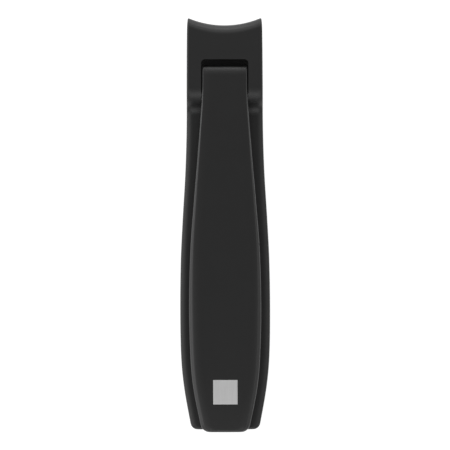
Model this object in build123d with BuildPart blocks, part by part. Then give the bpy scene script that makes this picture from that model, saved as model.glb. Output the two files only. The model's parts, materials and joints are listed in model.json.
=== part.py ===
from build123d import *
import os
from math import acos, cos, sin

# Fingernail clipper with a flat thumb lever. Millimetres.
# X is across, Y runs along the clipper with the jaws towards +Y, Z is up.
# The underside of the lower arm lies on z = 0, and the lever is modelled closed.

os.makedirs("parts", exist_ok=True)

# ---- Driving dimensions -------------------------------------------------------

jaw_tip_y = 30.0            # foremost corners of the cutting edges
body_rear_y = -29.6         # flat rear end of the arms
lever_rear_y = -30.0        # the lever stands out a little behind the arms

lower_top = 1.7             # the lower arm is a strip this thick
arm_under = 3.9             # underside of the upper arm
arm_top = 5.5               # top of the upper arm along the flanks
head_top = 7.9              # top of the upper jaw, and of the closed lever
lever_under = 5.9

edge_radius = 13.4          # curve of both cutting edges, seen from above
edge_half_chord = 5.25
lower_edge_z = 4.5
upper_edge_z = 4.65

# Ogee between the thick head and the thin flanks
ogee_start_y = 20.3
ogee_crown_radius = 3.4
ogee_foot_radius = 2.3

window_half_width = 3.4
window_front_y = 24.0
window_rear_y = 17.2
window_corner = 0.6

# Pins and their running clearance
pivot_y, pivot_z = 18.6, 5.6
pivot_radius = 0.7
nose_pin_y, nose_pin_z = 21.7, 6.1
nose_pin_radius = 0.45
running_clearance = 0.04

# Draw post, seen from the side
post_width = 2.3            # across
post_head_radius = 0.85
slot_to_rear = 0.40         # travel that the nose pin needs in the post's slot
slot_to_front = 0.10

rivet_ys = {"tail_rivet_front": -23.4, "tail_rivet_rear": -27.4}
rivet_radius = 0.9
rivet_head_radius = 1.6
rivet_chamfer = 0.15
rivet_lift_clearance = 0.15  # the upper arm tilts off the rivets as the jaws open

badge_side = 3.56
badge_y = -24.3
badge_depth = 0.25
badge_top = head_top

# Half widths of the two outlines at stations along the length: (half width, y)
body_stations = [
    (5.25, 30.2),
    (5.41, 28.0),
    (5.48, 21.0),
    (5.51, 14.0),
    (5.69, 7.9),
    (6.11, 0.7),
    (6.39, -5.1),
    (6.52, -13.1),
    (6.34, -19.6),
    (5.88, -24.0),
    (4.87, -29.6),
]
lever_stations = [
    (3.24, 23.2),
    (3.27, 19.6),
    (3.40, 17.0),
    (3.92, 10.85),
    (4.50, 3.6),
    (5.02, -3.7),
    (5.22, -12.0),
    (5.02, -19.6),
    (4.57, -24.0),
    (3.36, -30.0),
]
body_rear_corner = 0.9
lever_rear_corner = 1.05
lever_front_corner = 0.3

edge_centre_y = jaw_tip_y + (edge_radius**2 - edge_half_chord**2) ** 0.5
half_span = 8.0             # more than half of the greatest width, for cuts across
cut_height = 8.0            # more than any piece's height, for cuts along Z
margin = 1.0                # how far a cut starts outside the material
edge_axis = Axis((0, edge_centre_y, 0), (0, 0, 1))


def mirrored_outline(stations, rear_corner, front_corner):
    """Face inside a smooth side curve through the stations and its mirror image."""
    front_x, front_y = stations[0]
    rear_x, rear_y = stations[-1]
    with BuildSketch() as outline:
        with BuildLine():
            Spline(*stations)
            Line((rear_x, rear_y), (-rear_x, rear_y))
            Spline(*[(-x, y) for x, y in stations])
            Line((-front_x, front_y), (front_x, front_y))
        make_face()
        fillet(outline.vertices().group_by(Axis.Y)[0], radius=rear_corner)
        if front_corner:
            fillet(outline.vertices().group_by(Axis.Y)[-1], radius=front_corner)
    return outline.sketch


def behind_edge(distance):
    """Y on the centre line, this far behind the middle of the cutting edges."""
    return edge_centre_y - edge_radius - distance


body_outline = mirrored_outline(body_stations, body_rear_corner, 0)
lever_outline = mirrored_outline(lever_stations, lever_rear_corner, lever_front_corner)

# ---- Lower arm ----------------------------------------------------------------

chin_radius = 5.03          # the chin curls up from the flat underside to the edge
chin_middle = chin_radius * (1 - 0.5**0.5)  # halfway round that arc, from both its tangents
edge_land = 0.25
strip_start = 6.5           # distance behind the edge where the plain strip starts
# Hollow behind the edge, as (distance behind the edge, z)
slope_end = (1.75, 3.2)
hollow_bend = (2.6, 2.15)
hollow_end = 4.2
hollow_reach = 9.0          # the hollow's cut runs on over the strip to here
bottom_round = 0.4
foot_radius = 2.0           # round foot of the draw post, let into the underside
foot_depth = 0.7
rivet_head_depth = 0.7
post_centre_y = nose_pin_y - (slot_to_rear - slot_to_front) / 2
post_length = 2 * post_head_radius + slot_to_rear + slot_to_front

with BuildPart() as lower_arm:
    with BuildSketch():
        add(body_outline)
    extrude(amount=lower_edge_z)
    # Everything above the strip goes, except the lower jaw
    with BuildSketch(Plane.YZ):
        with BuildLine():
            Polyline(
                (body_rear_y - margin, lower_top),
                (behind_edge(strip_start), lower_top),
                (behind_edge(strip_start), lower_edge_z + margin),
                (body_rear_y - margin, lower_edge_z + margin),
                close=True,
            )
        make_face()
    extrude(amount=half_span, both=True, mode=Mode.SUBTRACT)
    # The hollow behind the edge follows the curve of the edge
    with BuildSketch(Plane.YZ):
        with BuildLine():
            Line(
                (behind_edge(edge_land), lower_edge_z),
                (behind_edge(slope_end[0]), slope_end[1]),
            )
            ThreePointArc(
                (behind_edge(slope_end[0]), slope_end[1]),
                (behind_edge(hollow_bend[0]), hollow_bend[1]),
                (behind_edge(hollow_end), lower_top),
            )
            Polyline(
                (behind_edge(hollow_end), lower_top),
                (behind_edge(hollow_reach), lower_top),
                (behind_edge(hollow_reach), lower_edge_z + margin),
                (behind_edge(edge_land), lower_edge_z + margin),
                (behind_edge(edge_land), lower_edge_z),
            )
        make_face()
    revolve(axis=edge_axis, mode=Mode.SUBTRACT)
    # Outside of the jaw: the chin's arc, then everything ahead of the edge
    with BuildSketch(Plane.YZ):
        with BuildLine():
            ThreePointArc(
                (behind_edge(0), lower_edge_z),
                (behind_edge(chin_middle), chin_middle),
                (behind_edge(chin_radius), 0),
            )
            Polyline(
                (behind_edge(chin_radius), 0),
                (behind_edge(chin_radius), -margin),
                (edge_centre_y, -margin),
                (edge_centre_y, lower_edge_z + margin),
                (behind_edge(0), lower_edge_z + margin),
                (behind_edge(0), lower_edge_z),
            )
        make_face()
    revolve(axis=edge_axis, mode=Mode.SUBTRACT)
    underside_rim = lower_arm.faces().sort_by(Axis.Z)[0].edges()
    fillet(underside_rim.filter_by(GeomType.BSPLINE), radius=bottom_round)
    with Locations((0, post_centre_y, 0)):
        Box(post_width, post_length, 2 * lower_top, mode=Mode.SUBTRACT)
        Cylinder(foot_radius, 2 * foot_depth, mode=Mode.SUBTRACT)
    for rivet_y in rivet_ys.values():
        with Locations((0, rivet_y, 0)):
            Cylinder(rivet_radius, cut_height, mode=Mode.SUBTRACT)
            Cone(
                rivet_head_radius,
                rivet_radius,
                rivet_head_depth,
                align=(Align.CENTER, Align.CENTER, Align.MIN),
                mode=Mode.SUBTRACT,
            )
lower_arm.part.label = "lower_arm"
export_step(lower_arm.part, "parts/lower_arm.step")

# ---- Upper arm ----------------------------------------------------------------

# The two arcs of the ogee are tangent, so together they turn through one angle
ogee_angle = acos(1 - (head_top - arm_top) / (ogee_crown_radius + ogee_foot_radius))
ogee_middle_y = ogee_start_y - ogee_crown_radius * sin(ogee_angle)
ogee_end_y = ogee_middle_y - ogee_foot_radius * sin(ogee_angle)
half_angle = ogee_angle / 2
crown_point = (
    ogee_start_y - ogee_crown_radius * sin(half_angle),
    head_top - ogee_crown_radius * (1 - cos(half_angle)),
)
foot_point = (
    ogee_end_y + ogee_foot_radius * sin(half_angle),
    arm_top + ogee_foot_radius * (1 - cos(half_angle)),
)
ogee_middle_z = head_top - ogee_crown_radius * (1 - cos(ogee_angle))
front_roll = 1.1            # round from the head's top down to the cutting face
edge_round = 0.7            # outer edges of the arm's top
mid_flank_z = (arm_under + arm_top) / 2
# Hollow under the head: its height, and its corners as distances behind the edge
head_hollow_top = 5.4
head_slope_end = 1.6
head_flat_end = 4.2
head_hollow_end = 5.2

with BuildPart() as upper_arm:
    with BuildSketch(Plane.XY.offset(arm_under)):
        add(body_outline)
    extrude(amount=head_top - arm_under)
    # The side profile: thick head, ogee, thin flank
    with BuildSketch(Plane.YZ):
        with BuildLine():
            Line((jaw_tip_y + margin, head_top), (ogee_start_y, head_top))
            ThreePointArc((ogee_start_y, head_top), crown_point, (ogee_middle_y, ogee_middle_z))
            ThreePointArc((ogee_middle_y, ogee_middle_z), foot_point, (ogee_end_y, arm_top))
            Polyline(
                (ogee_end_y, arm_top),
                (body_rear_y - margin, arm_top),
                (body_rear_y - margin, arm_under),
                (jaw_tip_y + margin, arm_under),
                (jaw_tip_y + margin, head_top),
            )
        make_face()
    extrude(amount=half_span, both=True, mode=Mode.INTERSECT)
    # The top's side edges: neither upright, nor straight across
    top_edges = upper_arm.edges().filter_by(lambda edge: edge.center().Z > mid_flank_z)
    top_sides = top_edges.filter_by(
        lambda edge: max(abs(edge.tangent_at(0.5).X), abs(edge.tangent_at(0.5).Z)) < 0.9
    )
    fillet(top_sides, radius=edge_round)
    # Everything ahead of the cutting face, with the roll along its top
    with BuildSketch(Plane.YZ):
        with BuildLine():
            Line(
                (behind_edge(0), arm_under - margin),
                (behind_edge(0), head_top - front_roll),
            )
            RadiusArc(
                (behind_edge(0), head_top - front_roll),
                (behind_edge(front_roll), head_top),
                -front_roll,
            )
            Polyline(
                (behind_edge(front_roll), head_top),
                (behind_edge(front_roll), head_top + margin),
                (edge_centre_y, head_top + margin),
                (edge_centre_y, arm_under - margin),
                (behind_edge(0), arm_under - margin),
            )
        make_face()
    revolve(axis=edge_axis, mode=Mode.SUBTRACT)
    # The hollow under the head, behind the edge
    with BuildSketch(Plane.YZ):
        with BuildLine():
            Polyline(
                (behind_edge(-margin), arm_under - margin),
                (behind_edge(-margin), upper_edge_z),
                (behind_edge(edge_land), upper_edge_z),
                (behind_edge(head_slope_end), head_hollow_top),
                (behind_edge(head_flat_end), head_hollow_top),
                (behind_edge(head_hollow_end), arm_under),
                (behind_edge(head_hollow_end), arm_under - margin),
                close=True,
            )
        make_face()
    revolve(axis=edge_axis, mode=Mode.SUBTRACT)
    # Window for the lever's nose, and the flat channel behind it
    with BuildSketch(Plane.XY.offset(arm_under - margin)):
        with Locations((0, (window_front_y + window_rear_y) / 2)):
            RectangleRounded(
                2 * window_half_width, window_front_y - window_rear_y, window_corner
            )
    extrude(amount=cut_height, mode=Mode.SUBTRACT)
    with BuildSketch(Plane.XY.offset(arm_top)):
        with Locations((0, (ogee_start_y + ogee_end_y) / 2)):
            Rectangle(2 * window_half_width, ogee_start_y - ogee_end_y)
    extrude(amount=cut_height, mode=Mode.SUBTRACT)
    with Locations(Location((0, pivot_y, pivot_z), (0, 90, 0))):
        Cylinder(pivot_radius, 4 * half_span, mode=Mode.SUBTRACT)
    for rivet_y in rivet_ys.values():
        with Locations((0, rivet_y, arm_top)):
            Cylinder(rivet_radius + rivet_lift_clearance, cut_height, mode=Mode.SUBTRACT)
upper_arm.part.label = "upper_arm"
export_step(upper_arm.part, "parts/upper_arm.step")

# ---- Lever --------------------------------------------------------------------

nose_front_y = lever_stations[0][1]
nose_under = 4.7
nose_half_width = lever_stations[0][0]
nose_heel_radius = 1.15     # the nose's heel is round about the pivot
nose_roll = 1.3
top_round = 0.35
slope_top_z = 7.1           # below this the lever's sides lean in
lean_in = 0.5
clevis_half_width = 1.25
clevis_rear_y = 20.3
clevis_skin_z = 7.35
clevis_front_y = 22.75
clevis_mouth_z = 6.95
tail_bend_y = -26.2
tail_end_y = lever_rear_y - margin
tail_drop = 0.5             # drop of the lever's top at tail_end_y
tail_radius = ((tail_end_y - tail_bend_y) ** 2 + tail_drop**2) / (2 * tail_drop)

lever_foot_stations = [(x - lean_in, y) for x, y in lever_stations]
lever_foot = mirrored_outline(lever_foot_stations, lever_rear_corner, lever_front_corner)

with BuildPart() as lever:
    with BuildSketch(Plane.XY.offset(slope_top_z)):
        add(lever_outline)
    extrude(amount=head_top - slope_top_z)
    top_rim = lever.faces().sort_by(Axis.Z)[-1].edges().filter_by(GeomType.BSPLINE)
    fillet(top_rim, radius=top_round)
    # The top bends down towards the tail
    with BuildSketch(Plane.YZ):
        with BuildLine():
            RadiusArc(
                (tail_end_y, head_top - tail_drop), (tail_bend_y, head_top), -tail_radius
            )
            Polyline(
                (tail_end_y, head_top - tail_drop),
                (tail_end_y, head_top + margin),
                (tail_bend_y, head_top + margin),
                (tail_bend_y, head_top),
            )
        make_face()
    extrude(amount=half_span, both=True, mode=Mode.SUBTRACT)
    # Below the straight sides they lean in towards the underside
    with BuildSketch(Plane.XY.offset(lever_under)):
        add(lever_foot)
    with BuildSketch(Plane.XY.offset(slope_top_z)):
        add(lever_outline)
    loft(ruled=True)
    # The nose hangs down in the window, with a heel round about the pivot
    with BuildSketch(Plane.YZ):
        with BuildLine():
            Polyline(
                (pivot_y, slope_top_z),
                (nose_front_y, slope_top_z),
                (nose_front_y, nose_under),
                (pivot_y, nose_under),
                close=True,
            )
        make_face()
        with Locations((pivot_y, pivot_z)):
            Circle(nose_heel_radius)
    extrude(amount=nose_half_width, both=True)
    # Clevis for the draw post: a hood stays over it, so nothing shows from above
    with BuildSketch(Plane.YZ):
        with BuildLine():
            Polyline(
                (clevis_rear_y, nose_under - margin),
                (clevis_rear_y, clevis_skin_z),
                (clevis_front_y, clevis_skin_z),
                (clevis_front_y, clevis_mouth_z),
                (nose_front_y + margin, clevis_mouth_z),
                (nose_front_y + margin, nose_under - margin),
                close=True,
            )
        make_face()
    extrude(amount=clevis_half_width, both=True, mode=Mode.SUBTRACT)
    # Roll along the front of the nose
    with BuildSketch(Plane.YZ):
        with BuildLine():
            RadiusArc(
                (nose_front_y, head_top - nose_roll),
                (nose_front_y - nose_roll, head_top),
                -nose_roll,
            )
            Polyline(
                (nose_front_y - nose_roll, head_top),
                (nose_front_y - nose_roll, head_top + margin),
                (nose_front_y + margin, head_top + margin),
                (nose_front_y + margin, head_top - nose_roll),
                (nose_front_y, head_top - nose_roll),
            )
        make_face()
    extrude(amount=half_span, both=True, mode=Mode.SUBTRACT)
    with Locations(Location((0, pivot_y, pivot_z), (0, 90, 0))):
        Cylinder(pivot_radius + running_clearance, 4 * half_span, mode=Mode.SUBTRACT)
    with Locations(Location((0, nose_pin_y, nose_pin_z), (0, 90, 0))):
        Cylinder(nose_pin_radius, 4 * half_span, mode=Mode.SUBTRACT)
    with Locations((0, badge_y, badge_top)):
        Box(badge_side, badge_side, 2 * badge_depth, mode=Mode.SUBTRACT)
lever.part.label = "lever"
export_step(lever.part, "parts/lever.step")

# ---- Lever badge: plain square let into the lever -------------------------------

with BuildPart() as lever_badge:
    with Locations((0, badge_y, badge_top)):
        Box(
            badge_side,
            badge_side,
            badge_depth,
            align=(Align.CENTER, Align.CENTER, Align.MAX),
        )
lever_badge.part.label = "lever_badge"
export_step(lever_badge.part, "parts/lever_badge.step")

# ---- Draw post: foot, shank and a head with the slot for the nose pin -----------

with BuildPart() as draw_post:
    Cylinder(foot_radius, foot_depth, align=(Align.CENTER, Align.CENTER, Align.MIN))
    with BuildSketch(Plane.YZ):
        with Locations((0, nose_pin_z)):
            SlotCenterToCenter(slot_to_rear + slot_to_front, 2 * post_head_radius)
        with Locations((0, nose_pin_z / 2)):
            Rectangle(post_length, nose_pin_z)
        with Locations((0, nose_pin_z)):
            SlotCenterToCenter(
                slot_to_rear + slot_to_front,
                2 * (nose_pin_radius + running_clearance),
                mode=Mode.SUBTRACT,
            )
    extrude(amount=post_width / 2, both=True)
draw_post.part.locate(Location((0, post_centre_y, 0)))
draw_post.part.label = "draw_post"
export_step(draw_post.part, "parts/draw_post.step")

# ---- Pins ---------------------------------------------------------------------

pivot_pin_half_length = 5.3
nose_pin_half_length = 3.1
pin_chamfer = 0.1
pin_sizes = {
    "pivot_pin": (pivot_radius, pivot_pin_half_length, (pivot_y, pivot_z)),
    "nose_pin": (nose_pin_radius, nose_pin_half_length, (nose_pin_y, nose_pin_z)),
}
for pin_name, (radius, half_length, (y, z)) in pin_sizes.items():
    with BuildPart() as pin:
        with BuildSketch(Plane.YZ.offset(-half_length)):
            with Locations((y, z)):
                Circle(radius)
        extrude(amount=2 * half_length)
        chamfer(pin.edges().filter_by(GeomType.CIRCLE), length=pin_chamfer)
    pin.part.label = pin_name
    export_step(pin.part, f"parts/{pin_name}.step")

# ---- Tail spacer and its two rivets ---------------------------------------------

spacer_front_y = -21.2
spacer_rear_y = -29.1
spacer_front_half_width = 5.3
spacer_rear_half_width = 4.0
spacer_corner = 0.6
spacer_gap = 0.05           # left under the upper arm, which tilts off it

with BuildPart() as tail_spacer:
    with BuildSketch(Plane.XY.offset(lower_top)):
        with BuildLine():
            Polyline(
                (spacer_front_half_width, spacer_front_y),
                (spacer_rear_half_width, spacer_rear_y),
                (-spacer_rear_half_width, spacer_rear_y),
                (-spacer_front_half_width, spacer_front_y),
                close=True,
            )
        make_face()
    extrude(amount=arm_under - spacer_gap - lower_top)
    fillet(tail_spacer.edges().filter_by(Axis.Z), radius=spacer_corner)
    for rivet_y in rivet_ys.values():
        with Locations((0, rivet_y, arm_under)):
            Cylinder(rivet_radius, cut_height, mode=Mode.SUBTRACT)
tail_spacer.part.label = "tail_spacer"
export_step(tail_spacer.part, "parts/tail_spacer.step")

for rivet_name, rivet_y in rivet_ys.items():
    with BuildPart() as rivet:
        with BuildSketch(Plane.YZ):
            with BuildLine():
                Polyline(
                    (rivet_y, 0),
                    (rivet_y + rivet_head_radius, 0),
                    (rivet_y + rivet_radius, rivet_head_depth),
                    (rivet_y + rivet_radius, arm_top - rivet_chamfer),
                    (rivet_y + rivet_radius - rivet_chamfer, arm_top),
                    (rivet_y, arm_top),
                    close=True,
                )
            make_face()
        revolve(axis=Axis((0, rivet_y, 0), (0, 0, 1)))
    rivet.part.label = rivet_name
    export_step(rivet.part, f"parts/{rivet_name}.step")
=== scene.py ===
import json
import math

import bmesh
import bpy
from mathutils import Matrix, Vector


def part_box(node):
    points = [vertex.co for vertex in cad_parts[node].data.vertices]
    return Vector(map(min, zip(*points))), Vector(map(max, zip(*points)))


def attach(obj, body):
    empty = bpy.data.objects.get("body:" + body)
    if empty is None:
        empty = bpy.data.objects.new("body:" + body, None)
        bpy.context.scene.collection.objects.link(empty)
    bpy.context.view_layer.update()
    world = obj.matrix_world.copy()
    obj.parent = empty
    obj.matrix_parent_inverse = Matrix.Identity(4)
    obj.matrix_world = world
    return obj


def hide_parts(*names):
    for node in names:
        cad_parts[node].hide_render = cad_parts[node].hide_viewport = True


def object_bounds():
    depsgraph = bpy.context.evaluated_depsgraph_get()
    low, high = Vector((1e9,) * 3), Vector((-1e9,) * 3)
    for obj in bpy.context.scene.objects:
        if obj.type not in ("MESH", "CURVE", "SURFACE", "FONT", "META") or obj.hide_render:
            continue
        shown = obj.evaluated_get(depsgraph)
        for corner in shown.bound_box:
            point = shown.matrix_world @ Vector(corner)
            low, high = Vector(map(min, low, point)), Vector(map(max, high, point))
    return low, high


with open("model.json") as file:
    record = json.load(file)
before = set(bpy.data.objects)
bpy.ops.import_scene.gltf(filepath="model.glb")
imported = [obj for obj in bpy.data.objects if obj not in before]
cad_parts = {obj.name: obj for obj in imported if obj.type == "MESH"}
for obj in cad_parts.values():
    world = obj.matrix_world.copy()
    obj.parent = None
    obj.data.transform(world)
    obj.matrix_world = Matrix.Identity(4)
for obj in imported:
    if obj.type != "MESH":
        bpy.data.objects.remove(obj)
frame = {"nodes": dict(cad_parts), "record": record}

MM = 0.001

cad_low, cad_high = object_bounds()
centre_x = (cad_low.x + cad_high.x) / 2
centre_y = (cad_low.y + cad_high.y) / 2
top_z = cad_high.z


# ---- Materials ------------------------------------------------------------------


def new_material(name):
    """A node material, with its node tree and its shader."""
    material = bpy.data.materials.new(name)
    material.use_nodes = True
    tree = material.node_tree
    shader = tree.nodes["Principled BSDF"]
    return material, tree, shader


def add_node(tree, kind, **inputs):
    """A node with these inputs set, where an underscore stands for a space in a name."""
    node = tree.nodes.new(kind)
    for socket, value in inputs.items():
        node.inputs[socket.replace("_", " ")].default_value = value
    return node


def noise(tree, scale, detail, roughness):
    """Noise fixed to the object, with its scale in features per metre."""
    place = tree.nodes.new("ShaderNodeTexCoord")
    texture = add_node(tree, "ShaderNodeTexNoise", Scale=scale, Detail=detail, Roughness=roughness)
    tree.links.new(place.outputs["Object"], texture.inputs["Vector"])
    return texture.outputs["Fac"]


def mixed(tree, factor, low, high):
    """A colour between low and high, each of which is a colour or a socket."""
    node = tree.nodes.new("ShaderNodeMix")
    node.data_type = "RGBA"
    tree.links.new(factor, node.inputs["Factor"])
    for name, value in (("A", low), ("B", high)):
        if isinstance(value, bpy.types.NodeSocket):
            tree.links.new(value, node.inputs[name])
        else:
            node.inputs[name].default_value = value
    return node.outputs["Result"]


def roughen(tree, shader, height, roughness, spread, strength, distance):
    """Lets a noise vary the shader's roughness by up to the spread, and raise a fine bump."""
    varied = add_node(
        tree,
        "ShaderNodeMapRange",
        From_Min=0.3,
        From_Max=0.7,
        To_Min=roughness - spread,
        To_Max=roughness + spread,
    )
    tree.links.new(height, varied.inputs["Value"])
    tree.links.new(varied.outputs["Result"], shader.inputs["Roughness"])
    bump = add_node(tree, "ShaderNodeBump", Strength=strength, Distance=distance)
    tree.links.new(height, bump.inputs["Height"])
    tree.links.new(bump.outputs["Normal"], shader.inputs["Normal"])


WEAR_AND_HIGHLIGHT = "edge_wear_and_highlight"           # mesh attribute, from 0 to 1 on the sharpest roundings, where the coat is painted paler: wear and a painted edge highlight
WEAR_AND_HIGHLIGHT_FROM, WEAR_AND_HIGHLIGHT_FULL = 2.0, 5.0    # how sharply the surface turns there, in radians per mm
GRAIN_SCALE = 9000           # features per metre
BLACK_GREY = 0.007


def blasted_black(name, worn_and_highlight_grey, roughness):
    """Fine matte black coating over blasted steel, paler along the sharpest edges: a little thinner
    there, and a painted edge highlight.
    """
    material, tree, shader = new_material(name)
    cloud = noise(tree, scale=260, detail=3, roughness=0.5)
    grain = noise(tree, scale=GRAIN_SCALE, detail=2, roughness=0.6)
    edge = tree.nodes.new("ShaderNodeAttribute")
    edge.attribute_name = WEAR_AND_HIGHLIGHT

    # Both blacks have a trace of blue
    dark = (BLACK_GREY * 0.85, BLACK_GREY * 0.85, BLACK_GREY * 0.86, 1)
    pale = (BLACK_GREY * 1.15, BLACK_GREY * 1.15, BLACK_GREY * 1.16, 1)
    worn_and_highlight = (worn_and_highlight_grey, worn_and_highlight_grey, worn_and_highlight_grey, 1)
    # Paler grey on the sharpest roundings: partly worn coat, partly a painted edge highlight
    coat = mixed(tree, edge.outputs["Fac"], mixed(tree, cloud, dark, pale), worn_and_highlight)
    tree.links.new(coat, shader.inputs["Base Color"])
    roughen(tree, shader, grain, roughness, spread=0.05, strength=0.12, distance=0.02 * MM)
    return material


def satin_metal(name, grey, metallic, roughness):
    """Ground metal with fine lines along Y."""
    material, tree, shader = new_material(name)
    shader.inputs["Metallic"].default_value = metallic
    place = tree.nodes.new("ShaderNodeTexCoord")
    stretch = add_node(tree, "ShaderNodeMapping", Scale=(1.0, 0.03, 1.0))
    texture = add_node(tree, "ShaderNodeTexNoise", Scale=GRAIN_SCALE, Detail=2)
    tree.links.new(place.outputs["Object"], stretch.inputs["Vector"])
    tree.links.new(stretch.outputs["Vector"], texture.inputs["Vector"])
    lines = texture.outputs["Fac"]

    dark, pale = [(grey * part, grey * part, grey * part, 1) for part in (0.92, 1.08)]
    tree.links.new(mixed(tree, lines, dark, pale), shader.inputs["Base Color"])
    roughen(tree, shader, lines, roughness, spread=0.06, strength=0.1, distance=0.01 * MM)
    return material


finishes = {
    # The worn grey pales the sharpest edges, as wear and as a painted edge highlight; the lever's
    # is the brighter
    "black_steel": blasted_black("black_steel_finish", worn_and_highlight_grey=0.016, roughness=0.42),
    "lever_black": blasted_black("lever_black_finish", worn_and_highlight_grey=0.055, roughness=0.40),
    "badge_silver": satin_metal("badge_silver_finish", grey=0.585, metallic=0.5, roughness=0.5),
    "pin_steel": satin_metal("pin_steel_finish", grey=0.25, metallic=1.0, roughness=0.35),
}
node_slots = {part["node"]: part["material_slot"] for part in frame["record"]["subparts"]}
for node_name, node in frame["nodes"].items():
    node.data.materials.clear()
    node.data.materials.append(finishes[node_slots[node_name]])


# ---- Outlines and heights, in millimetres, close to those of the CAD model ------------

JAW_TIP_Y = 30.0
EDGE_RADIUS = 13.4           # curve of the cutting edges, seen from above
EDGE_HALF_CHORD = 5.25
EDGE_SAGITTA = EDGE_RADIUS - math.sqrt(EDGE_RADIUS**2 - EDGE_HALF_CHORD**2)
EDGE_MIDDLE_Y = JAW_TIP_Y - EDGE_SAGITTA

LOWER_TOP = 1.7
ARM_UNDER = 3.9
ARM_TOP = 5.5
HEAD_TOP = 7.9
LEVER_UNDER = 5.9
UPPER_EDGE_Z = 4.65

BODY_REAR_Y = -29.63
BODY_SIDE = [
    (30.2, 5.29), (29.2, 5.41), (28.0, 5.46), (21.0, 5.51), (14.0, 5.54), (7.9, 5.72),
    (0.7, 6.14), (-5.1, 6.42), (-13.1, 6.515), (-19.6, 6.37), (-24.0, 5.91), (-29.63, 4.89),
]
LEVER_FRONT_Y = 23.2
LEVER_REAR_Y = -30.0
LEVER_SIDE = [
    (23.2, 3.28), (19.6, 3.30), (17.0, 3.40), (10.85, 3.87), (3.6, 4.48), (-3.7, 5.02),
    (-12.0, 5.22), (-19.6, 5.02), (-24.0, 4.57), (-30.0, 3.36),
]


def smooth_curve(points, y):
    """Half width at y on a smooth curve through the points, which run from front to rear."""
    ys = [p[0] for p in points]
    ws = [p[1] for p in points]
    slopes = []
    for i in range(len(points)):
        before, after = max(i - 1, 0), min(i + 1, len(points) - 1)
        slopes.append((ws[after] - ws[before]) / (ys[after] - ys[before]))
    y = min(max(y, ys[-1]), ys[0])
    i = next(k for k in range(len(points) - 1) if y >= ys[k + 1])
    span = ys[i + 1] - ys[i]
    t = (y - ys[i]) / span
    return (
        ws[i] * (2 * t**3 - 3 * t**2 + 1)
        + slopes[i] * span * (t**3 - 2 * t**2 + t)
        + ws[i + 1] * (3 * t**2 - 2 * t**3)
        + slopes[i + 1] * span * (t**3 - t**2)
    )


def quarter(radius, distance):
    """How far a quarter round has fallen away, this far before its end."""
    reach = max(radius - distance, 0)
    return radius - math.sqrt(max(radius**2 - reach**2, 0))


def towards_end(length, steps):
    """Distances from an end, from the length down to 0, that lie closer towards the end."""
    return [length * (1 - math.sin(math.radians(90 * k / steps))) for k in range(steps + 1)]


# ---- Strips: long pieces built from cross sections ------------------------------------

SHARP_ANGLE = math.radians(28)    # edges that turn more than this are shaded sharp
THROUGH = 20                 # length of a cutter that goes right across a piece


def new_piece(name, verts, faces):
    """A mesh object in the scene, with its faces turned outwards."""
    mesh = bpy.data.meshes.new(name)
    mesh.from_pydata(verts, [], faces)
    form = bmesh.new()
    form.from_mesh(mesh)
    bmesh.ops.recalc_face_normals(form, faces=form.faces)
    form.to_mesh(mesh)
    form.free()
    piece = bpy.data.objects.new(name, mesh)
    bpy.context.scene.collection.objects.link(piece)
    return piece


def strip(name, stations, shift=None):
    """A closed mesh through cross sections.

    Each station is (top point, bottom point, half width, top half, bottom half). The points
    are (y, z) on the middle line. A half is a list of (inset from the side, depth from that
    surface), from the middle to the side. The top half has one point more than the bottom
    half, and its last point is the widest one. A shift moves points forward by shift(x, y).
    """
    verts, faces = [], []
    columns = len(stations[0][3])
    loop = 4 * columns - 4   # points round a cross section

    def place(point, towards, depth, x):
        length = math.hypot(towards[0] - point[0], towards[1] - point[1])
        y = point[0] + (towards[0] - point[0]) * depth / length
        z = point[1] + (towards[1] - point[1]) * depth / length
        if shift:
            y += shift(x, y)
        verts.append((x * MM, y * MM, z * MM))

    for top, bottom, half_width, top_half, bottom_half in stations:
        for inset, depth in top_half:
            place(top, bottom, depth, half_width - inset)
        for inset, depth in reversed(bottom_half):
            place(bottom, top, depth, half_width - inset)
        for inset, depth in bottom_half[1:]:
            place(bottom, top, depth, inset - half_width)
        for inset, depth in reversed(top_half[1:]):
            place(top, bottom, depth, inset - half_width)
    for k in range(len(stations) - 1):
        for i in range(loop):
            j = (i + 1) % loop
            faces.append((k * loop + i, k * loop + j, (k + 1) * loop + j, (k + 1) * loop + i))
    for first in (0, (len(stations) - 1) * loop):
        for side in (1, -1):
            for j in range(columns - 1):
                upper = [first + (side * i) % loop for i in (j, j + 1)]
                lower = [first + (side * (2 * columns - 2 - i)) % loop for i in (j + 1, j)]
                faces.append(tuple(dict.fromkeys(upper + lower)))
    return new_piece(name, verts, faces)


def corner(before, at, after, radius, steps):
    """Points of a rounding at a corner of a cross section."""

    def towards(point):
        share = min(radius / math.dist(at, point), 0.95)
        return [a + (b - a) * share for a, b in zip(at, point)]

    start, end = towards(before), towards(after)
    points = []
    for k in range(steps + 1):
        t = k / steps
        bend = [(1 - t) ** 2, 2 * t * (1 - t), t**2]
        points.append(
            tuple(bend[0] * s + bend[1] * a + bend[2] * e for s, a, e in zip(start, at, end))
        )
    return points


def cutter_box(low, high, corner_radius=0.0):
    """A box for cutting, with its four upright edges rounded."""
    centre = [(a + b) / 2 for a, b in zip(low, high)]
    form = bmesh.new()
    bmesh.ops.create_cube(form, size=1)
    for vert in form.verts:
        vert.co = Vector([(c + p * (b - a)) * MM for c, p, a, b in zip(centre, vert.co, low, high)])
    if corner_radius:
        upright = [e for e in form.edges if abs(e.verts[0].co.z - e.verts[1].co.z) > 0.1 * MM]
        bmesh.ops.bevel(
            form, geom=upright, offset=corner_radius * MM, segments=8, profile=0.5, affect="EDGES"
        )
    return cutter(form)


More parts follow.
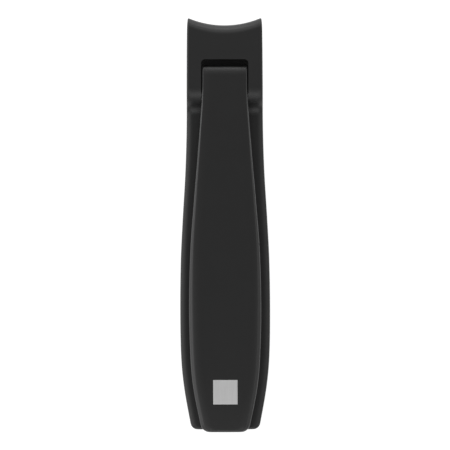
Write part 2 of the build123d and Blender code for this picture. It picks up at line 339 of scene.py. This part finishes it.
def cutter_rod(centre, axis, radius, length, end_radius=None):
    """A rod for cutting, or a cone if it has an end radius."""
    form = bmesh.new()
    turn = Vector(axis).to_track_quat("Z", "Y").to_matrix().to_4x4()
    bmesh.ops.create_cone(
        form,
        cap_ends=True,
        segments=64,
        radius1=radius * MM,
        radius2=(radius if end_radius is None else end_radius) * MM,
        depth=length * MM,
        matrix=Matrix.Translation(Vector(centre) * MM) @ turn,
    )
    return cutter(form)


def cutter(form):
    """Puts the form into the scene as a tool for a cut."""
    mesh = bpy.data.meshes.new("cutter")
    bmesh.ops.recalc_face_normals(form, faces=form.faces)
    form.to_mesh(mesh)
    form.free()
    tool = bpy.data.objects.new("cutter", mesh)
    bpy.context.scene.collection.objects.link(tool)
    return tool


def apply_modifiers(piece):
    """Gives the piece the mesh that its modifiers make, and drops them."""
    graph = bpy.context.evaluated_depsgraph_get()
    solved = bpy.data.meshes.new_from_object(piece.evaluated_get(graph), depsgraph=graph)
    piece.modifiers.clear()
    piece.data = solved
    return solved


def mark_wear_and_highlight(mesh):
    """Stores how sharply the surface turns outwards at each vertex, where the coat is painted
    paler, as wear and as an edge highlight.
    """
    form = bmesh.new()
    form.from_mesh(mesh)
    wear_and_highlight = []
    for vert in form.verts:
        turn = 0.0
        for edge in vert.link_edges:
            if len(edge.link_faces) == 2 and edge.calc_length() > 0:
                width = sum(f.calc_area() for f in edge.link_faces) / 2 / edge.calc_length()
                if width > 0:
                    turn = max(turn, edge.calc_face_angle_signed(0.0) * MM / width)
        wear_and_highlight.append(min(max((turn - WEAR_AND_HIGHLIGHT_FROM) / (WEAR_AND_HIGHLIGHT_FULL - WEAR_AND_HIGHLIGHT_FROM), 0.0), 1.0))
    form.free()
    mesh.attributes.new(WEAR_AND_HIGHLIGHT, "FLOAT", "POINT").data.foreach_set("value", wear_and_highlight)


def finish_piece(piece, tools, body, node):
    """Cuts the tools out of the piece, smooths its shading, and lets it stand for a CAD node."""
    for tool in tools:
        cut = piece.modifiers.new("cut", "BOOLEAN")
        cut.operation = "DIFFERENCE"
        cut.solver = "EXACT"
        cut.object = tool
    solved = apply_modifiers(piece)
    for tool in tools:
        bpy.data.objects.remove(tool)
    for polygon in solved.polygons:
        polygon.use_smooth = True
    solved.set_sharp_from_angle(angle=SHARP_ANGLE)
    weigh = piece.modifiers.new("weigh", "WEIGHTED_NORMAL")
    weigh.keep_sharp = True
    solved = apply_modifiers(piece)
    solved.name = piece.name
    # Mask for the paler coat on the sharpest edges: wear and a painted edge highlight
    mark_wear_and_highlight(solved)
    slot = node_slots[node]
    solved.materials.clear()
    solved.materials.append(finishes[slot])
    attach(piece, body)
    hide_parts(node)


# ---- Lever ---------------------------------------------------------------------------

NOSE_ROLL = 1.50             # length of the leaning part of the nose's front edge
NOSE_ROLL_IN = 0.5           # length over which it starts to lean
NOSE_LEAN = 0.17             # its slope
NOSE_EDGE = 0.85             # rounding from there to upright
NOSE_UNDER = 4.7
NOSE_HALF_WIDTH = 3.24       # of its underside
PIVOT = (0, 18.6, 5.6)
LEVER_PIVOT_HOLE = 0.74
HEEL_RADIUS = 1.15
NOSE_PIN = (0, 21.7, 6.1)
NOSE_PIN_HOLE = 0.46
POST_SLOT = ((-1.25, 20.3, 3.5), (1.25, 22.75, 7.35))
POST_SLOT_MOUTH = ((-1.25, 22.0, 3.4), (1.25, 24.0, 6.95))
BADGE_Y = -24.2
BADGE_SIDE = 3.56
BADGE_RIM = 0.06
BADGE_PROUD = 0.01
BADGE_FOOT = 0.34            # the plate reaches this far below the lever's highest place
TAIL_BEND_Y = -20.0          # the lever's top bends down behind this
TAIL_BEND = 0.3
TAIL_BEND_POWER = 2.6
TAIL_TOP_ROUND = 0.25
TAIL_UNDER_ROUND = 0.3
TAIL_CORNER = 1.05
NOSE_CORNER = 0.3
BEVEL_START_Y, BEVEL_GROWTH_LENGTH, BEVEL_GROWTH_MAX = 14, 34, 0.8
BEVEL_WIDE = (0.13, 0.40)    # at the front, and how much it grows towards the tail
BEVEL_DEEP = (0.14, 0.28)
SHOULDER_WIDE = 1.2          # gently sloping stretch inside the bevel
SHOULDER_DEEP = (0.08, 0.10)
# Roundings at the bevel's two ends, and the share of the bevel that each may take up
BEVEL_TOP_ROUND, BEVEL_RIM_ROUND = (0.10, 0.35), (0.16, 0.55)
SIDE_DEEP, NOSE_SIDE_DEEP = 0.8, 1.2    # depth from the top where the side starts to lean in
SIDE_LEAN, NOSE_SIDE_LEAN_MIN = 0.5, 0.02
UNDER_ROUND = 0.22


def lever_half_width(y):
    rear = quarter(TAIL_CORNER, y - LEVER_REAR_Y)
    front = quarter(NOSE_CORNER, LEVER_FRONT_Y - y)
    return smooth_curve(LEVER_SIDE, y) - rear - front


def nose_drop(y):
    """The nose's front edge: it leans down evenly, then turns over to upright."""
    way = max(y - (LEVER_FRONT_Y - NOSE_ROLL), 0)
    if way < NOSE_ROLL_IN:
        return NOSE_LEAN * way**2 / (2 * NOSE_ROLL_IN)
    return NOSE_LEAN * (way - NOSE_ROLL_IN / 2) + quarter(NOSE_EDGE, LEVER_FRONT_Y - y)


def lever_top(y):
    way = max(TAIL_BEND_Y - y, 0) / (TAIL_BEND_Y - LEVER_REAR_Y)
    bend = TAIL_BEND * way**TAIL_BEND_POWER
    return HEAD_TOP - bend - nose_drop(y) - quarter(TAIL_TOP_ROUND, y - LEVER_REAR_Y)


def lever_bottom(y):
    """The heel is round about the pivot behind it; ahead of it the nose is flat below."""
    from_pivot = y - PIVOT[1]
    if from_pivot < -HEEL_RADIUS:
        return LEVER_UNDER + quarter(TAIL_UNDER_ROUND, y - LEVER_REAR_Y)
    heel = PIVOT[2] - math.sqrt(max(HEEL_RADIUS**2 - from_pivot**2, 0))
    return heel if from_pivot < 0 else min(NOSE_UNDER, heel)


def lever_station(y):
    """The lever's cross section: flat top, gentle shoulder, bevel, side, and flat underside."""
    width = lever_half_width(y)
    top, bottom = lever_top(y), lever_bottom(y)
    thick = top - bottom
    in_nose = y > PIVOT[1] - HEEL_RADIUS
    growth = min(max((BEVEL_START_Y - y) / BEVEL_GROWTH_LENGTH, 0), BEVEL_GROWTH_MAX)
    bevel_wide, bevel_deep, shoulder_deep = [
        base + more * growth for base, more in (BEVEL_WIDE, BEVEL_DEEP, SHOULDER_DEEP)
    ]
    side_end = min(NOSE_SIDE_DEEP, thick / 2) if in_nose else SIDE_DEEP
    lean = max(width - NOSE_HALF_WIDTH, NOSE_SIDE_LEAN_MIN) if in_nose else SIDE_LEAN

    flat_end = bevel_wide + SHOULDER_WIDE
    upper = [(width * part + (1 - part) * flat_end, 0) for part in (1, 0.66, 0.33)]
    for k in range(7):
        share = k / 7
        upper.append((bevel_wide + SHOULDER_WIDE * (1 - share), shoulder_deep * share**2))
    bevel_start = (bevel_wide, shoulder_deep)
    rim = (0, shoulder_deep + bevel_deep)
    bevel_length = math.hypot(bevel_wide, bevel_deep)
    top_round, rim_round = [
        min(radius, bevel_length * share) for radius, share in (BEVEL_TOP_ROUND, BEVEL_RIM_ROUND)
    ]
    on_shoulder = (bevel_wide + 0.2, shoulder_deep * 0.75)
    upper += corner(on_shoulder, bevel_start, rim, top_round, 3)
    upper += corner(bevel_start, rim, (0, side_end), rim_round, 4)
    upper.append((0, side_end))
    lower = [(width + (lean + 0.3 - width) * k / 12, 0) for k in range(13)]
    lower += corner((lean + 0.5, 0), (lean, 0), (0, thick - side_end), UNDER_ROUND, 4)
    lower.append((lean * 0.3, (thick - side_end) * 0.7))
    return ((y, top), (y, bottom), width, upper, lower[: len(upper) - 1])


def lever_stations():
    """Cross sections from front to rear, closer together where the lever turns over."""
    ys = [LEVER_FRONT_Y - d for d in reversed(towards_end(NOSE_EDGE, 10))]
    ys += [LEVER_FRONT_Y - NOSE_EDGE - 0.1 * k for k in range(1, 8)]
    ys += [21.6 - 0.4 * k for k in range(6)]
    heel_front, heel_rear = PIVOT[1] + 0.73, PIVOT[1] - HEEL_RADIUS
    ys += [heel_rear + d for d in towards_end(heel_front - heel_rear, 10)[:-1]]
    ys += [heel_rear + 0.002, heel_rear - 0.002]    # the step from the heel up to the underside
    ys += [17 - 0.75 * k for k in range(61)]
    ys += [LEVER_REAR_Y + d for d in towards_end(1.2, 10)]
    return [lever_station(y) for y in ys]


def build_lever():
    piece = strip("lever_form", lever_stations())
    tools = [
        cutter_box(*POST_SLOT),
        cutter_box(*POST_SLOT_MOUTH),
        cutter_rod(PIVOT, (1, 0, 0), LEVER_PIVOT_HOLE, THROUGH),
        cutter_rod(NOSE_PIN, (1, 0, 0), NOSE_PIN_HOLE, THROUGH),
    ]
    finish_piece(piece, tools, "thumb_lever", "lever")


def build_badge():
    """The silver square: a plate that follows the lever's top, with a fine softened rim."""
    steps = 16               # columns and rows inside the rim
    half = BADGE_SIDE / 2
    flat = BADGE_SIDE - 2 * BADGE_RIM
    ticks = [-half, -half + BADGE_RIM * 0.3, -half + BADGE_RIM]
    ticks += [-half + BADGE_RIM + flat * k / steps for k in range(1, steps)]
    ticks += [half - BADGE_RIM, half - BADGE_RIM * 0.3, half]
    count = len(ticks)
    verts, faces = [], []
    for v in ticks:
        for u in ticks:
            edge = min(half - abs(u), half - abs(v))
            z = lever_top(BADGE_Y + v) + BADGE_PROUD - quarter(BADGE_RIM, edge) * 0.5
            verts.append((u * MM, (BADGE_Y + v) * MM, z * MM))
    for j in range(count - 1):
        for i in range(count - 1):
            first = j * count + i
            faces.append((first, first + 1, first + count + 1, first + count))
    ring = list(range(count))
    ring += [j * count + count - 1 for j in range(1, count)]
    ring += [(count - 1) * count + i for i in range(count - 2, -1, -1)]
    ring += [j * count for j in range(count - 2, 0, -1)]
    base = len(verts)
    for i in ring:
        verts.append((verts[i][0], verts[i][1], (HEAD_TOP - BADGE_FOOT) * MM))
    for k in range(len(ring)):
        after = (k + 1) % len(ring)
        faces.append((ring[k], base + k, base + after, ring[after]))
    faces.append(tuple(base + k for k in range(len(ring))))
    finish_piece(new_piece("badge_plate", verts, faces), [], "thumb_lever", "lever_badge")


# ---- Upper arm -----------------------------------------------------------------------

FRONT_ROLL = 1.3
WINDOW_HALF_WIDTH = 3.43
WINDOW_REAR_Y, WINDOW_FRONT_Y = 17.2, 24.0
WINDOW_CORNER = 0.6
NOTCH_FRONT_Y = 17.8         # behind this, the head is cut away between the cheeks
ARM_PIVOT_HOLE = 0.71
RIVET_HOLE = 1.05
RIVET_CUT_LENGTH = 6         # goes through either arm
RIVETS = ("tail_rivet_front", "tail_rivet_rear")
NOTCH_OVERRUN = 0.05         # how far its cut runs on behind the ogee
BODY_CORNER = 0.85           # of both arms at the tail, seen from above
BODY_TAIL_ROUND = 0.3        # of the upper arm's top at its rear end
JAW_CORNER = 0.2
EDGE_CURVE_REAR_Y = 24.1     # from here forwards the stations take on the curve of the edge
EDGE_CURVE_LENGTH = 1.2      # over this length
EDGE_BAND = 0.9              # the outer stretch of an arm's top, which may sag
# Of the upper arm's top along its sides: on the head, and how much more down on the flank
SIDE_ROUND = (0.32, -0.14)
SIDE_SAG = (0.0, 0.3)
SIDE_UNDER_ROUND = 0.2
CROWN_RADIUS, FOOT_RADIUS = 3.4, 2.3
OGEE_START_Y = 20.3
OGEE_ANGLE = math.acos(1 - (HEAD_TOP - ARM_TOP) / (CROWN_RADIUS + FOOT_RADIUS))
OGEE_MIDDLE_Y = OGEE_START_Y - CROWN_RADIUS * math.sin(OGEE_ANGLE)
OGEE_END_Y = OGEE_MIDDLE_Y - FOOT_RADIUS * math.sin(OGEE_ANGLE)
# Underside of the head, as (distance behind the edge, z)
HEAD_UNDER = [
    (0, UPPER_EDGE_Z), (0.25, UPPER_EDGE_Z), (1.6, 5.4), (4.2, 5.4), (5.0, ARM_UNDER),
    (99, ARM_UNDER),
]


def follow_edge(x, y):
    """How far forward the curve of the cutting edge carries a point of a jaw."""
    share = min(max((y - EDGE_CURVE_REAR_Y) / EDGE_CURVE_LENGTH, 0), 1)
    return share * (EDGE_RADIUS - math.sqrt(max(EDGE_RADIUS**2 - x**2, 0)))


def upper_top(y):
    """Height of the head, then the ogee, then the flank."""
    front = quarter(FRONT_ROLL, EDGE_MIDDLE_Y - y)
    if y > OGEE_START_Y:
        return HEAD_TOP - front
    if y > OGEE_MIDDLE_Y:
        return HEAD_TOP - CROWN_RADIUS + math.sqrt(CROWN_RADIUS**2 - (OGEE_START_Y - y) ** 2)
    if y > OGEE_END_Y:
        return ARM_TOP + FOOT_RADIUS - math.sqrt(FOOT_RADIUS**2 - (y - OGEE_END_Y) ** 2)
    return ARM_TOP - quarter(BODY_TAIL_ROUND, y - BODY_REAR_Y)


def upper_bottom(y):
    """Height of the arm's underside, with the hollow behind the cutting edge."""
    behind = EDGE_MIDDLE_Y - y
    for (d0, z0), (d1, z1) in zip(HEAD_UNDER, HEAD_UNDER[1:]):
        if behind <= d1:
            return z0 + (z1 - z0) * (behind - d0) / (d1 - d0)


def body_width(y):
    """Half width of either arm, with its rear corners and the corners of the jaw."""
    tip = quarter(JAW_CORNER, EDGE_MIDDLE_Y - y)
    lead = follow_edge(EDGE_HALF_CHORD, y)
    return smooth_curve(BODY_SIDE, y + lead) - quarter(BODY_CORNER, y - BODY_REAR_Y) - tip


def slab_halves(width, top_round, bottom_round, thick, sag=0.0):
    """Halves of an arm's cross section: a slab with rounded long edges.

    The top may sag towards its sides, over the edge band.
    """
    middle = thick / 2
    flat_columns, band_columns = 10, 10
    band_used = 6            # the rounding takes the rest of the band
    flat = [(width + (EDGE_BAND - width) * k / flat_columns, 0) for k in range(flat_columns + 1)]
    upper = list(flat)
    for k in range(1, band_used + 1):
        share = k / band_columns
        upper.append((EDGE_BAND * (1 - share), sag * share**2))
    left = 1 - band_used / band_columns
    round_start = (EDGE_BAND * left, sag * (1 - left) ** 2)
    upper += corner(round_start, (0, sag), (0, middle), top_round, 6)
    upper.append((0, middle))
    lower = flat + corner((EDGE_BAND, 0), (0, 0), (0, middle), bottom_round, 12)
    return upper, lower


def upper_station(y):
    width = body_width(y)
    top, bottom = upper_top(y), upper_bottom(y)
    on_flank = min(max((OGEE_START_Y - y) / (OGEE_START_Y - OGEE_END_Y), 0), 1)
    side_round, sag = [base + more * on_flank for base, more in (SIDE_ROUND, SIDE_SAG)]
    upper, lower = slab_halves(width, side_round, SIDE_UNDER_ROUND, top - bottom, sag)
    return ((y, top), (y, bottom), width, upper, lower)


def middle_y(node):
    """Middle of a CAD node along Y, in millimetres."""
    low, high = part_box(node)
    return (low.y + high.y) / 2 / MM


def build_upper_arm():
    ys = [EDGE_MIDDLE_Y - d for d in reversed(towards_end(FRONT_ROLL, 12))]
    ys += [EDGE_MIDDLE_Y - d for d in (1.35, 1.6, 1.9, 2.3, 2.8, 3.4, 3.8, 4.2, 4.5, 4.8, 5.0)]
    ys += [23.6, 23.0, 22.2, 21.4, 20.7, OGEE_START_Y]
    ogee_span = OGEE_START_Y - OGEE_END_Y
    ys += [OGEE_START_Y - ogee_span * k / 36 for k in range(1, 37)]
    ys += [15.3 - 0.8 * k for k in range(55)]
    ys += [BODY_REAR_Y + d for d in towards_end(1.0, 12)]
    piece = strip("upper_arm_form", [upper_station(y) for y in ys], follow_edge)
    side, under, over = WINDOW_HALF_WIDTH, 3, 9    # the cuts reach from under to over the arm
    tools = [
        cutter_box((-side, WINDOW_REAR_Y, under), (side, WINDOW_FRONT_Y, over), WINDOW_CORNER),
        cutter_box((-side, OGEE_END_Y - NOTCH_OVERRUN, ARM_TOP), (side, NOTCH_FRONT_Y, over)),
        cutter_rod(PIVOT, (1, 0, 0), ARM_PIVOT_HOLE, THROUGH),
    ]
    for rivet in RIVETS:
        place = (0, middle_y(rivet), ARM_TOP)
        tools.append(cutter_rod(place, (0, 0, 1), RIVET_HOLE, RIVET_CUT_LENGTH))
    finish_piece(piece, tools, "upper_jaw", "upper_arm")


# ---- Lower arm -----------------------------------------------------------------------

POST_SEAT_RADIUS, POST_SEAT_DEPTH = 2.03, 0.72
POST_HOLE = (1.16, 1.11)     # half sizes along X and Y
RIVET_SEAT_RADIUS, RIVET_SEAT_DEPTH = 2.33, 0.7
RIVET_SHANK_HOLE = 0.93
# Roundings of the inner and outer long edges of the chin, of the strip, and of its rear end
CHIN_ROUNDS = (0.15, 0.35)
STRIP_ROUNDS = (0.2, 0.4)
STRIP_TAIL_ROUNDS = (0.2, 0.35)
CHIN_RADIUS = 5.03
# The chin's outside as angles round its arc, and its inside as (distance behind the edge, z)
CHIN_ANGLES = (6.05, 12, 18, 25, 33, 42, 52, 62, 72, 81, 90)
CHIN_INSIDE = (
    (0.25, 4.50), (0.75, 4.07), (1.25, 3.63), (1.75, 3.20), (2.13, 2.74), (2.55, 2.33),
    (3.05, 2.00), (3.60, 1.81), (4.20, 1.72), (4.80, 1.70), (5.40, 1.70),
)


def build_lower_arm():
    stations = []
    for angle, (behind, z) in zip(CHIN_ANGLES, CHIN_INSIDE):
        a = math.radians(angle)
        outside = (EDGE_MIDDLE_Y - CHIN_RADIUS * (1 - math.cos(a)), CHIN_RADIUS * (1 - math.sin(a)))
        inside = (EDGE_MIDDLE_Y - behind, z)
        width = body_width(outside[0])
        upper, lower = slab_halves(width, *CHIN_ROUNDS, math.dist(inside, outside))
        stations.append((inside, outside, width, upper, lower))
    ys = [23.0 - 0.9 * k for k in range(57)]
    ys += [BODY_REAR_Y + d for d in towards_end(1.0, 12)]
    for y in ys:
        width = body_width(y)
        top_fall, bottom_rise = [quarter(radius, y - BODY_REAR_Y) for radius in STRIP_TAIL_ROUNDS]
        top, bottom = LOWER_TOP - top_fall, bottom_rise
        upper, lower = slab_halves(width, *STRIP_ROUNDS, top - bottom)
        stations.append(((y, top), (y, bottom), width, upper, lower))
    piece = strip("lower_arm_form", stations, follow_edge)
    foot_y = middle_y("draw_post")
    post_side, post_front = POST_HOLE
    tools = [
        cutter_rod((0, foot_y, 0), (0, 0, 1), POST_SEAT_RADIUS, 2 * POST_SEAT_DEPTH),
        cutter_box((-post_side, foot_y - post_front, -1), (post_side, foot_y + post_front, 3)),
    ]
    for rivet in RIVETS:
        seat, shank = RIVET_SEAT_RADIUS, RIVET_SHANK_HOLE
        place = (0, middle_y(rivet), 0)
        tools.append(cutter_rod(place, (0, 0, 1), seat, 2 * RIVET_SEAT_DEPTH, end_radius=shank))
        tools.append(cutter_rod(place, (0, 0, 1), shank, RIVET_CUT_LENGTH))
    finish_piece(piece, tools, "base", "lower_arm")


build_lever()
build_badge()
build_upper_arm()
build_lower_arm()


# ---- Floor, light and camera, in metres ------------------------------------------

FLOOR_HALF_SIDE = 1.5
FLOOR_GAP = 0.02 * MM        # keeps the floor off the flat underside
FLOOR_GREYS = (0.38, 0.40)
FLOOR_GLOW = 0.85
WORLD_GLOW = 0.31
VIEW_FIELD = 65.13 * MM      # width of the picture at the height of the clipper's top
VIEW_TURN = -0.12            # degrees

# Azimuth and elevation in degrees, distance, width, height, and radiance
SOFTBOXES = {
    "left_box": (-90, 18, 0.5, 0.6, 0.26, 1.8),
    "left_high_box": (-90, 48, 0.5, 0.6, 0.22, 1.0),
    "right_box": (90, 18, 0.5, 0.6, 0.26, 0.5),
    "right_high_box": (90, 48, 0.5, 0.6, 0.22, 0.6),
    "jaw_end_box": (0, 16, 0.5, 0.4, 0.24, 2.7),
    "jaw_high_box": (0, 48, 0.16, 0.12, 0.06, 1.3),
    "tail_end_box": (180, 46, 0.18, 0.14, 0.09, 1.6),
}


def floor():
    """A pale sheet just under the clipper, far wider than the view."""
    side = FLOOR_HALF_SIDE
    mesh = bpy.data.meshes.new("studio_floor")
    corners = [(-side, -side, 0), (side, -side, 0), (side, side, 0), (-side, side, 0)]
    mesh.from_pydata(corners, [], [(0, 1, 2, 3)])
    sheet = bpy.data.objects.new("studio_floor", mesh)
    bpy.context.scene.collection.objects.link(sheet)
    sheet.location.z = cad_low.z - FLOOR_GAP
    material, tree, shader = new_material("floor_white")
    cloud = noise(tree, scale=30, detail=2, roughness=0.5)
    dark, pale = [(grey, grey, grey, 1) for grey in FLOOR_GREYS]
    tree.links.new(mixed(tree, cloud, dark, pale), shader.inputs["Base Color"])
    shader.inputs["Roughness"].default_value = 0.9
    shader.inputs["Emission Color"].default_value = (1, 1, 1, 1)
    shader.inputs["Emission Strength"].default_value = FLOOR_GLOW
    mesh.materials.append(material)


def softbox(name, azimuth, elevation, distance, width, height, radiance):
    """A rectangular light that faces the clipper. Azimuth 0 is at the +Y side, 90 at the +X."""
    data = bpy.data.lights.new(name, "AREA")
    data.shape = "RECTANGLE"
    data.size = width
    data.size_y = height
    data.energy = radiance * width * height * math.pi
    lamp = bpy.data.objects.new(name, data)
    bpy.context.scene.collection.objects.link(lamp)
    a, e = math.radians(azimuth), math.radians(elevation)
    away = Vector((math.sin(a) * math.cos(e), math.cos(a) * math.cos(e), math.sin(e)))
    lamp.location = Vector((centre_x, centre_y, 0)) + away * distance
    lamp.rotation_euler = away.to_track_quat("Z", "Y").to_euler()


def lights():
    world = bpy.data.worlds.new("studio")
    bpy.context.scene.world = world
    world.use_nodes = True
    background = world.node_tree.nodes["Background"]
    background.inputs["Color"].default_value = (1, 1, 1, 1)
    background.inputs["Strength"].default_value = WORLD_GLOW
    for name, values in SOFTBOXES.items():
        softbox(name, *values)


def camera():
    """Straight above, with the jaws at the top of the picture and a slight turn."""
    data = bpy.data.cameras.new("camera")
    data.lens = 800
    data.sensor_width = 36
    distance = VIEW_FIELD * data.lens / data.sensor_width
    data.clip_start = 0.01
    data.clip_end = 10
    eye = bpy.data.objects.new("camera", data)
    bpy.context.scene.collection.objects.link(eye)
    eye.location = (centre_x, centre_y, top_z + distance)
    eye.rotation_euler = (0, 0, math.radians(VIEW_TURN))
    bpy.context.scene.camera = eye


floor()
lights()
camera()
bpy.context.scene.view_settings.view_transform = "Standard"
